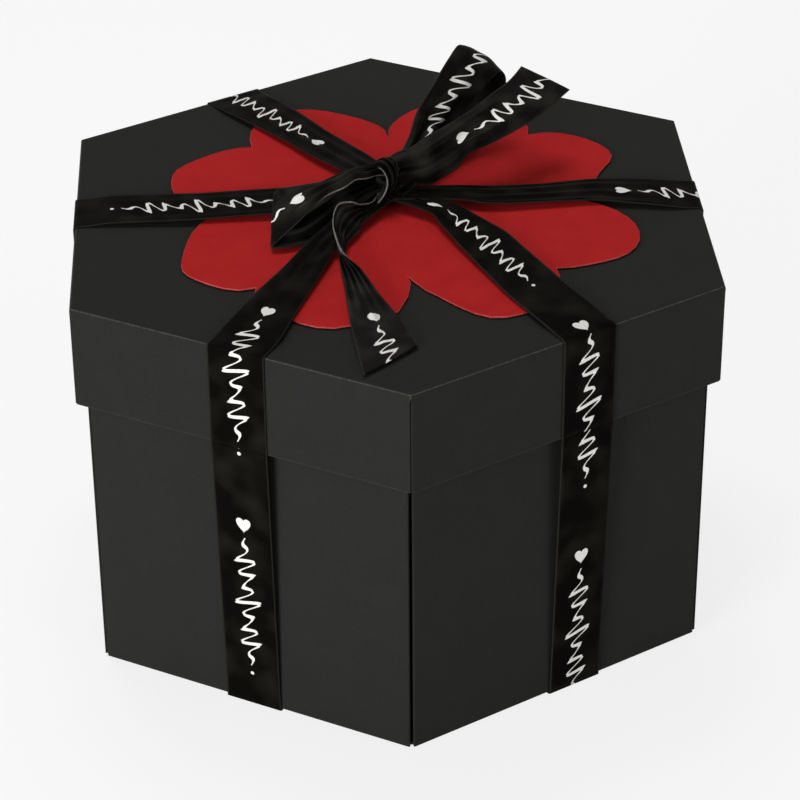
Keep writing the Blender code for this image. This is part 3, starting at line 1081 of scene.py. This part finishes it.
    def weave(self, name: str, stations: list[Station], cut: RibbonCut) -> Object:
        """Make one strip of ribbon.

        Args:
            name: Name of the piece.
            stations: The path with its folds.
            cut: How the strip is cut, folded and printed.

        Returns:
            The piece as a plain mesh at the origin.
        """
        guide = bpy.data.meshes.new(name)
        edges = [(index, index + 1) for index in range(len(stations) - 1)]
        guide.from_pydata([tuple(station.middle) for station in stations], edges, [])
        spread = guide.attributes.new("spread", "FLOAT_VECTOR", "POINT")
        folds = guide.attributes.new("folds", "FLOAT_VECTOR", "POINT")
        for index, station in enumerate(stations):
            spread.data[index].vector = station.spread
            folds.data[index].vector = (station.crown, station.pleat(cut), station.wrinkle)
        piece = bpy.data.objects.new(name, guide)
        bpy.context.scene.collection.objects.link(piece)
        woven = piece.modifiers.new("ribbon", "NODES")
        woven.node_group = self.tree
        values = {
            "Steps along": cut.rows,
            "Steps across": cut.columns,
            "Full width": cut.width,
            "Pleats": cut.pleats,
            "Pleat phase": cut.phase,
            "Crease size": 1 / (cut.crease_mm * MM),
            "Slant at end": cut.slant_end,
            "Print start": cut.print_start_mm * MM,
            "Seed": cut.seed,
            "Satin": self.satins[cut.tone][0],
        }
        for item in self.tree.interface.items_tree:
            if item.name in values:
                woven[item.identifier] = values[item.name]
        settle(piece)
        piece.data.materials.clear()
        for satin in self.satins[cut.tone]:
            piece.data.materials.append(satin)
        thick = piece.modifiers.new("cloth", "SOLIDIFY")
        thick.thickness = cut.thickness
        thick.offset = 0.0
        thick.material_offset = 1
        thick.material_offset_rim = 1
        settle(piece)
        return piece

    def lay(self, name: str, stations: list[Station], cut: RibbonCut, body: str, *nodes: str) -> None:
        """Args:
            name: Name of the piece.
            stations: The path with its folds.
            cut: How the strip is cut and printed.
            body: Body that it rides on.
            nodes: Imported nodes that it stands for.
        """
        piece = self.weave(name, stations, cut)
        stand_in(piece, body, nodes)


@dataclass
class RibbonBands:
    """The ribbon over the lid, down the walls and under the base."""

    sizes: BoxSizes
    loom: RibbonLoom
    half_width: float = 7.75 * MM
    half_cloth: float = 0.12 * MM
    shifts: tuple[float, ...] = (0.0, 4.96 * MM, 2.015 * MM, 0.0, -0.93 * MM, -2.945 * MM)
    knot_reach: float = 1.2 * MM
    rise: float = 1.9 * MM
    gather_lift: float = 1.2 * MM
    flat_reach: float = 72.0 * MM
    edge_gap: float = 0.3 * MM
    edge_bend: float = 0.9 * MM
    fold_share: float = 0.2
    arm_steps: int = 12
    bend_steps: int = 4
    drop_steps: int = 8
    under_steps: int = 12
    arm_wrinkle: float = 0.22 * MM
    drop_wrinkle: float = 0.3 * MM
    smooth_rim: float = 5.0 * MM
    sheet_ease: tuple[float, float] = (0.2 * MM, 0.1 * MM)
    dip: float = 4.5 * MM
    over_lid: float = 0.45 * MM
    over_fold: float = 0.35 * MM
    skirt_shares: tuple[float, ...] = (0.3, 0.65, 1.0)
    over_wall: float = 0.45 * MM
    foot_height: float = 0.28 * MM
    under_overhang: float = 0.05 * MM
    under_height: float = 0.11 * MM
    crossing_step: float = 0.13 * MM
    crossing_slope: float = 3.0

    # For each arm: distance from the axis, shift across, and half the visible width, in mm.
    GATHERS = (
        ((2, -2.5, 4), (12, -3.5, 4), (28, -4, 4), (42, -2.5, 5), (57, -1.5, 6.5)),
        ((2, 4, 4.5), (12, 8.5, 4), (30, 8.5, 7), (57, 5.5, 7.75)),
        ((2, 1.5, 3.5), (17, 2, 4), (27, 0.5, 5), (40, 1.5, 5), (53, 3.5, 6)),
        ((2, 0, 3.5), (20, 0, 4.5), (40, 0, 6), (57, 0, 7)),
        ((2, -3.5, 3.5), (22, -4, 5.5), (33, -3, 6), (43, -2.5, 6), (57, -2, 7)),
        ((2, -3.5, 4), (14, -3.5, 5.5), (30, -2, 7), (50, -1.5, 7.25)),
    )
    # Where along each arm the print begins, in mm of the pattern at the knot.
    PRINT_STARTS = (-52.0, 0.0, -50.0, -20.0, -28.0, -14.0)

    def build(self) -> None:
        """Weave the six arms, six drops and the three lengths under the base."""
        for side in range(SIDES):
            self.add_arm(side)
            self.add_drop(side)
        for side in range(SIDES // 2):
            self.add_under(side)

    def gathered(self, side: int, distance: float) -> tuple[float, float]:
        """Return an arm's shift across and half its visible width.

        Args:
            side: Number of the side.
            distance: Distance from the axis.

        Returns:
            The shift and the half width in metres.
        """
        whole = (self.shifts[side] / MM, self.half_width / MM)
        rows = (*self.GATHERS[side], (self.flat_reach / MM, *whole))
        place = min(max(distance / MM, rows[0][0]), rows[-1][0])
        near, far = next(pair for pair in zip(rows, rows[1:]) if place <= pair[1][0])
        share = (place - near[0]) / (far[0] - near[0])
        return tuple((a + (b - a) * share) * MM for a, b in zip(near[1:], far[1:]))

    def arm_line(self) -> list[tuple[float, float]]:
        """Return distance from the axis and height of the ribbon's middle over the lid."""
        sizes = self.sizes
        rest = sizes.ribbon_top + self.half_cloth
        path = []
        for step in range(self.arm_steps):
            share = step / self.arm_steps
            distance = self.knot_reach + (self.flat_reach - self.knot_reach) * share
            path.append((distance, rest + self.rise * (1 - share)))
        # Beyond the red sheet the ribbon dips to the lid.
        path.append((self.flat_reach - self.sheet_ease[0], rest - self.sheet_ease[1]))
        path.append((self.flat_reach + self.dip, sizes.lid_top + self.over_lid))
        bend = self.edge_bend
        out = sizes.lid_inradius + self.edge_gap
        top = sizes.lid_top + self.over_fold - bend
        for step in range(self.bend_steps + 1):
            angle = math.pi / 2 * (1 - step / self.bend_steps)
            path.append((out - bend + bend * math.cos(angle), top + bend * math.sin(angle)))
        path += [(out, top + (sizes.rim - top) * share) for share in self.skirt_shares]
        return path

    def add_arm(self, side: int) -> None:
        """Add the ribbon from the knot over the lid's edge and down its skirt.

        Args:
            side: Number of the side.
        """
        turn = side_matrix(side)
        stations = []
        for distance, height in self.arm_line():
            shift, half = self.gathered(side, distance)
            lift = self.gather_lift * (1 - half / self.half_width)
            station = Station(
                middle=turn @ Vector((distance, shift, height + lift)),
                spread=turn @ Vector((0.0, half, 0.0)),
                gather=self.fold_share,
                wrinkle=self.arm_wrinkle if distance < self.sizes.lid_inradius - self.smooth_rim else 0.0,
            )
            stations.append(station)
        start = self.PRINT_STARTS[side]
        cut = RibbonCut(
            rows=90, phase=0.9 * side, print_start_mm=start, crease_mm=9.0, seed=20 + side
        )
        number = side + 1
        self.loom.lay(f"ribbon_over_lid_{number}", stations, cut, "lid", f"ribbon_arm_{number}")

    def add_drop(self, side: int) -> None:
        """Add the ribbon from the lid's edge to the foot of a wall, whose print carries on the arm's.

        Args:
            side: Number of the side.
        """
        turn = side_matrix(side)
        top = Vector((self.sizes.lid_inradius + self.edge_gap, self.shifts[side], self.sizes.rim))
        out = self.sizes.wall_inradius + self.over_wall
        foot = Vector((out, self.shifts[side], self.foot_height))
        stations = []
        for step in range(self.drop_steps + 1):
            share = step / self.drop_steps
            station = Station(
                middle=turn @ top.lerp(foot, share),
                spread=turn @ Vector((0.0, self.half_width, 0.0)),
                wrinkle=self.drop_wrinkle * math.sin(math.pi * share),
            )
            stations.append(station)
        path = self.arm_line()
        arm = sum(math.dist(here, there) for here, there in zip(path, path[1:]))
        start = self.PRINT_STARTS[side] + arm / MM
        cut = RibbonCut(
            rows=50, columns=13, print_start_mm=start, crease_mm=24.0, seed=40 + side
        )
        name, body, node = (f"ribbon_{part}_{side + 1}" for part in ("down_wall", "end", "drop"))
        self.loom.lay(name, stations, cut, body, node)

    def add_under(self, side: int) -> None:
        """Add one length under the base, from the foot of a wall to that of the wall opposite.

        Args:
            side: Number of the side.
        """
        turn = side_matrix(side)
        reach = self.sizes.wall_inradius + self.under_overhang
        opposite = side + SIDES // 2
        stations = []
        for step in range(self.under_steps + 1):
            share = 2 * step / self.under_steps - 1
            shift = self.shifts[side] if share > 0 else -self.shifts[opposite]
            crossing = max(0.0, 1 - abs(share) * self.crossing_slope)
            lift = self.under_height + side * self.crossing_step * crossing
            middle = turn @ Vector((reach * share, shift * abs(share), lift))
            stations.append(Station(middle, turn @ Vector((0.0, -self.half_width, 0.0))))
        cut = RibbonCut(rows=40, columns=9, thickness=0.12 * MM, print_start_mm=5.0)
        nodes = (f"ribbon_under_{number + 1}" for number in (side, opposite))
        self.loom.lay(f"ribbon_under_base_{side + 1}", stations, cut, "base", *nodes)


@dataclass
class Bow:
    """The bow: a wrapped knot, two loops and two tails.

    Each table row gives the middle in millimetres from the knot's foot, half the visible width as a
    vector in millimetres, the crown in millimetres, the share of the missing width that stands up in
    folds, and the height of the creases in millimetres.
    """

    sizes: BoxSizes
    loom: RibbonLoom
    knot_middle_mm: tuple[float, float, float] = (-2.0, 1.9, 6.4)
    knot_lean_mm: tuple[float, float, float] = (-1.6, -2.1, -0.5)
    knot_up: tuple[float, float, float] = (0.48, 0.0, 0.9)
    knot_near: tuple[float, float, float] = (0.35, -0.94, 0.0)
    knot_height_mm: float = 4.9
    knot_sag_mm: float = 0.7
    knot_depth_mm: float = 4.3
    knot_start: float = -0.62 * math.pi
    knot_turn: float = 2.15 * math.pi
    knot_steps: int = 26
    knot_swell: float = 0.004
    knot_folds: tuple[float, float, float] = (-0.5, 1.25, 0.4)

    SIDE_LOOP = (
        ((0, 3, 8.5), (0, -1.5, 0), 0.3, 1.2, 0),
        ((-3, 1.5, 9.5), (0, -2, 0), 0.4, 1, 0.1),
        ((-5.5, -0.5, 10), (0, -2.5, 0), 0.6, 0.9, 0.2),
        ((-8.5, -2.5, 10.5), (0, -3, 0.5), 0.8, 0.8, 0.3),
        ((-12, -5, 10), (0.5, -3.5, 0.5), 0.8, 0.8, 0.4),
        ((-16.5, -7, 9), (0.5, -4, 0.5), 0.8, 0.7, 0.5),
        ((-21, -9.5, 8.5), (1.5, -5.5, 0), 0.6, 0.6, 0.5),
        ((-24.5, -11.5, 7.5), (1.5, -7, -1), 0.4, 0.4, 0.3),
        ((-28, -13.5, 6), (0.5, -7, -3), 0.3, 0.2, 0.2),
        ((-30, -15.5, 4), (-0.5, -7, -3), 0.2, 0.2, 0.2),
        ((-29, -16, 2), (0, -7, -1), 0.2, 0.2, 0.2),
        ((-25.5, -15, 1.5), (1, -7, -0.5), 0.1, 0.2, 0.3),
        ((-21.5, -12.5, 1.5), (1.5, -6.5, -1), 0, 0.4, 0.3),
        ((-14.5, -5.5, 3), (0.5, -5.5, -2), -0.2, 0.6, 0.3),
        ((-8.5, -1.5, 5.5), (0.5, -3, -3), -0.3, 0.7, 0.2),
        ((-3, 1, 6.5), (0.5, -1.5, -2), -0.3, 1, 0),
    )
    BACK_LOOP = (
        ((1, 1.5, 8.5), (-1.5, -0.5, 1), 0.3, 0.8, 0),
        ((4, 6, 9), (-2, -1, 1), 0.5, 0.8, 0.2),
        ((9.5, 14, 11), (-3.5, -1.5, 2), 0.6, 0.8, 0.3),
        ((13.5, 21, 14), (-5, -2, 3), 0.5, 0.6, 0.4),
        ((18, 26.5, 18), (-5, -2, 4), 0.4, 0.4, 0.3),
        ((22.5, 31.5, 22), (-5, -1, 4.5), 0.6, 0.3, 0.2),
        ((26, 36.5, 23.5), (-5.5, -1, 4.5), 1.1, 0.2, 0.2),
        ((28, 39.5, 20.5), (-5.5, -0.5, 4.5), 1.2, 0.2, 0.2),
        ((27, 39.5, 16), (-6, -0.5, 4), 0.6, 0.2, 0.3),
        ((22.5, 34.5, 12), (-6, 0, 3.5), 0.3, 0.3, 0.3),
        ((16, 26, 8.5), (-5, 0.5, 2), 0.2, 0.6, 0.3),
        ((9.5, 15.5, 6), (-3, 0.5, 1), 0.2, 0.8, 0.3),
        ((3.5, 5.5, 5.5), (-1.5, 0.5, 0.5), 0.3, 0.8, 0.2),
        ((1, 1.5, 5), (-1, 0.5, 0.5), 0.3, 0.8, 0),
    )
    FRONT_TAIL = (
        ((-2, -2, 3.5), (-0.5, 1, 1), 0.1, 1.6, 0),
        ((-4.5, -5.5, 2.5), (0, 1, 1), 0.1, 1.6, 0.1),
        ((-7, -8, 3), (-1, 0.5, 1.5), 0.1, 1.4, 0.1),
        ((-8.5, -10.5, 4), (-1.5, 1.5, 2), 0.2, 1.2, 0.2),
        ((-10.5, -13, 4), (-2.5, 2.5, 2.5), 0.2, 0.9, 0.2),
        ((-12, -16, 3.5), (-2.5, 2.5, 2), 0.2, 0.9, 0.2),
        ((-13, -19.5, 3), (-2, 1.5, 1.5), 0.1, 1.1, 0.2),
        ((-13, -23, 2.5), (-1.5, 0, 1), 0, 1.4, 0.2),
        ((-13, -26.5, 2), (-0.5, -1.5, 0.5), 0, 1.7, 0.2),
        ((-12.5, -30.5, 1.5), (1, -1, 0.5), 0.1, 1.6, 0.2),
        ((-11, -36, 1), (2.5, -0.5, 0.5), 0.3, 1.2, 0.2),
        ((-9, -47, 1), (4, 0, 0), 0.4, 0.9, 0.3),
        ((-6.5, -60, 0.5), (6, 1, 0), 0.4, 0.6, 0.3),
        ((-4.5, -71, 0), (7, 2, 0), 0.2, 0.3, 0.3),
        ((-3, -82, -0.3), (7.5, 2, 0), 0, 0, 0.2),
    )
    BACK_TAIL = (
        ((-1.5, 1.5, 7), (-0.5, 1.5, 2), 0.5, 1.4, 0),
        ((1, 3, 8), (-0.5, 2, 3), 1, 1, 0.1),
        ((3.5, 4.5, 8.5), (-0.5, 2, 3.5), 1.4, 0.9, 0.2),
        ((6.5, 5.5, 8.5), (-0.5, 2, 4), 1.6, 0.9, 0.3),
        ((10, 6, 9), (-1, 2.5, 5), 1.8, 0.9, 0.5),
        ((13, 7.5, 10), (-1.5, 2.5, 5), 1.5, 0.9, 0.5),
        ((16.5, 9, 11.5), (-2, 2.5, 4.5), 0.9, 0.8, 0.5),
        ((20, 11.5, 13.5), (-1.5, 3, 3.5), 0.5, 0.7, 0.4),
        ((25, 14, 15), (-2, 3.5, 3.5), 0.3, 0.5, 0.4),
        ((30.5, 17, 17), (-3, 4.5, 3), 0.2, 0.3, 0.3),
        ((36.5, 22, 18.5), (-3.5, 5.5, 2.5), 0.1, 0.1, 0.3),
        ((43.5, 30.5, 20.5), (-6.5, 3.5, 1.5), 0, 0, 0.3),
    )

    def build(self) -> None:
        """Weave the bow."""
        pale_to_print, pale_at_start = EdgeTone.PALE_TO_PRINT, EdgeTone.PALE_AT_START
        # The side loop, the front tail and the knot carry a painted highlight along their second woven
        # edge.
        side_loop = RibbonCut(
            rows=110, columns=25, pleats=2.6, phase=0.6, print_start_mm=-18, tone=pale_to_print, seed=3
        )
        back_loop = RibbonCut(rows=110, columns=25, pleats=2.2, phase=1.1, print_start_mm=-3, seed=5)
        front_tail = RibbonCut(
            rows=100,
            columns=25,
            pleats=4.6,
            phase=0.4,
            slant_end=0.1,
            print_start_mm=-52,
            tone=pale_at_start,
            seed=7,
        )
        back_tail = RibbonCut(
            rows=90, columns=25, pleats=2.0, phase=math.pi, slant_end=-0.02, print_start_mm=-15, seed=9
        )
        self.add_strip("bow_side_loop", "loop_side", self.SIDE_LOOP, side_loop)
        self.add_strip("bow_back_loop", "loop_back", self.BACK_LOOP, back_loop)
        self.add_strip("bow_front_tail", "tail_front", self.FRONT_TAIL, front_tail)
        self.add_strip("bow_back_tail", "tail_back", self.BACK_TAIL, back_tail)
        knot = RibbonCut(
            rows=120, columns=41, phase=0.9, crease_mm=6.0, print_start_mm=-90, tone=pale_to_print, seed=11
        )
        self.add_strip("bow_knot", "knot", self.knot_rows(), knot)

    def add_strip(self, name: str, node: str, rows: tuple, cut: RibbonCut) -> None:
        """Weave one strip of the bow.

        Args:
            name: Name of the piece.
            node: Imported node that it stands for.
            rows: Its stations in millimetres.
            cut: How the strip is cut and printed.
        """
        foot = Vector((0.0, 0.0, self.sizes.ribbon_top))
        stations = []
        for middle, spread, crown, gather, wrinkle in rows:
            place = foot + Vector(middle) * MM
            stations.append(Station(place, Vector(spread) * MM, crown * MM, gather, wrinkle * MM))
        self.loom.lay(name, stations, cut, "lid", node)

    def knot_rows(self) -> list[tuple]:
        """Return the rows of the knot, which wraps once round the gathered middle of the bow."""
        rows = []
        for step in range(self.knot_steps + 1):
            angle = self.knot_start + self.knot_turn * step / self.knot_steps
            swell = 1.0 + self.knot_swell * step
            high = (self.knot_height_mm - self.knot_sag_mm * math.cos(angle)) * math.cos(angle)
            near = self.knot_depth_mm * math.sin(angle)
            ring = Vector(self.knot_up) * high * swell + Vector(self.knot_near) * near * swell
            rows.append((Vector(self.knot_middle_mm) + ring, self.knot_lean_mm, *self.knot_folds))
        return rows


# Studio


@dataclass
class Studio:
    """Floor, soft lamps and the camera."""

    floor_half: float = 3.0
    floor_colour: str = "#f0f0f0"
    floor_roughness: float = 0.9
    floor_glow: float = 0.8
    white: str = "#ffffff"
    aim: tuple[float, float, float] = (0.0, 0.0, 0.06)
    world_light: float = 0.14
    lens_mm: float = 135.209
    sensor_mm: float = 36.0
    camera_place: tuple[float, float, float] = (-0.03476606, -0.68296566, 0.46397853)
    camera_turn_degrees: tuple[float, float, float] = (58.69047498, 0.39251658, -3.36601208)

    # Each lamp's name, place and side in metres, and power in watts.
    LAMPS = (
        ("key_softbox", (-1.0, -1.1, 0.34), 0.7, 22.0),
        ("fill_softbox", (1.2, -0.8, 0.34), 0.9, 7.0),
        ("top_softbox", (-0.1, 0.36, 1.05), 0.52, 5.4),
    )

    def build(self) -> None:
        """Set up the picture."""
        self.add_floor()
        self.add_world()
        for name, place, side, power in self.LAMPS:
            lamp = self.add_source(name, bpy.data.lights.new(name, "AREA"), place)
            lamp.data.shape = "SQUARE"
            lamp.data.size = side
            lamp.data.energy = power
            aim = Vector(self.aim) - Vector(place)
            lamp.rotation_euler = aim.to_track_quat("-Z", "Y").to_euler()
        self.add_camera()
        bpy.context.scene.view_settings.view_transform = "Standard"

    def add_source(self, name: str, data: bpy.types.ID, place: tuple[float, float, float]) -> Object:
        """Add a lamp or a camera.

        Args:
            name: Name of the object.
            data: Its lamp or camera.
            place: Where it stands.

        Returns:
            The linked object.
        """
        made = bpy.data.objects.new(name, data)
        made.location = place
        bpy.context.scene.collection.objects.link(made)
        return made

    def add_camera(self) -> None:
        """Add the camera at its given place and turn, which were fitted to the corners of the lid and the
        box.
        """
        camera = self.add_source("camera", bpy.data.cameras.new("camera"), self.camera_place)
        camera.data.lens = self.lens_mm
        camera.data.sensor_width = self.sensor_mm
        camera.rotation_euler = tuple(math.radians(angle) for angle in self.camera_turn_degrees)
        bpy.context.scene.camera = camera

    def add_floor(self) -> None:
        """Add the plain pale floor."""
        shape = bmesh.new()
        half = self.floor_half
        corners = ((-half, -half), (half, -half), (half, half), (-half, half))
        shape.faces.new([shape.verts.new((x, y, 0.0)) for x, y in corners])
        floor = object_from(shape, "studio_floor")
        material, tree, shader = new_material("matt white paper sweep")
        shader.inputs["Base Color"].default_value = linear(self.floor_colour)
        shader.inputs["Roughness"].default_value = self.floor_roughness
        glow = add_node(tree, "ShaderNodeEmission", {"Color": linear(self.white), "Strength": 1.0})[0]
        found = {"seen": self.seen_ray(tree)}
        share = add_steps(tree, found, (("share", MATH, "MULTIPLY", "seen", self.floor_glow),))
        mixed = add_node(tree, "ShaderNodeMixShader", {0: share, 1: shader.outputs[0], 2: glow})[0]
        tree.links.new(mixed, tree.nodes["Material Output"].inputs["Surface"])
        floor.data.materials.append(material)

    def seen_ray(self, tree: Tree) -> Socket:
        """Return one for a ray from the camera, a reflection or a clear surface, else zero.

        Args:
            tree: Tree of the material or the world.
        """
        path = add_node(tree, "ShaderNodeLightPath")
        found = {name: path[f"Is {name} Ray"] for name in ("Camera", "Glossy", "Transmission")}
        steps = (
            ("either", MATH, "MAXIMUM", "Camera", "Glossy"),
            ("seen", MATH, "MAXIMUM", "either", "Transmission"),
        )
        return add_steps(tree, found, steps)

    def add_world(self) -> None:
        """Add an even soft light that the camera sees as white."""
        world = bpy.data.worlds.new("studio_light")
        bpy.context.scene.world = world
        world.use_nodes = True
        tree = world.node_tree
        base = tree.nodes["Background"]
        base.inputs["Color"].default_value = linear(self.white)
        base.inputs["Strength"].default_value = self.world_light
        glow = {"Color": linear(self.white), "Strength": 1.0}
        white = add_node(tree, "ShaderNodeBackground", glow)[0]
        inputs = {0: self.seen_ray(tree), 1: base.outputs[0], 2: white}
        mixed = add_node(tree, "ShaderNodeMixShader", inputs)[0]
        tree.links.new(mixed, tree.nodes["World Output"].inputs["Surface"])


# Main


def main() -> None:
    """Dress the box in order and set up the picture."""
    logging.basicConfig(level=logging.INFO, format="%(message)s")
    sizes = BoxSizes.from_frame()
    CardLayers().build()
    FoldedLid(sizes).build()
    HeartSheet().build()
    RibbonBands(sizes, RibbonLoom(SatinFinish())).build()
    # The bow's ribbon is painted lighter, with brighter lit patches, as painted sheen, and its plain side
    # darker as painted shade inside the loops.
    tied = SatinFinish(
        name="tied black satin ribbon",
        colour="#0d0c0a",
        lit_colour="#2b2a26",
        back_and_shade_colour="#050504",
        lustre=0.013,
    )
    Bow(sizes, RibbonLoom(tied)).build()
    Studio().build()


if __name__ == "__main__":
    main()
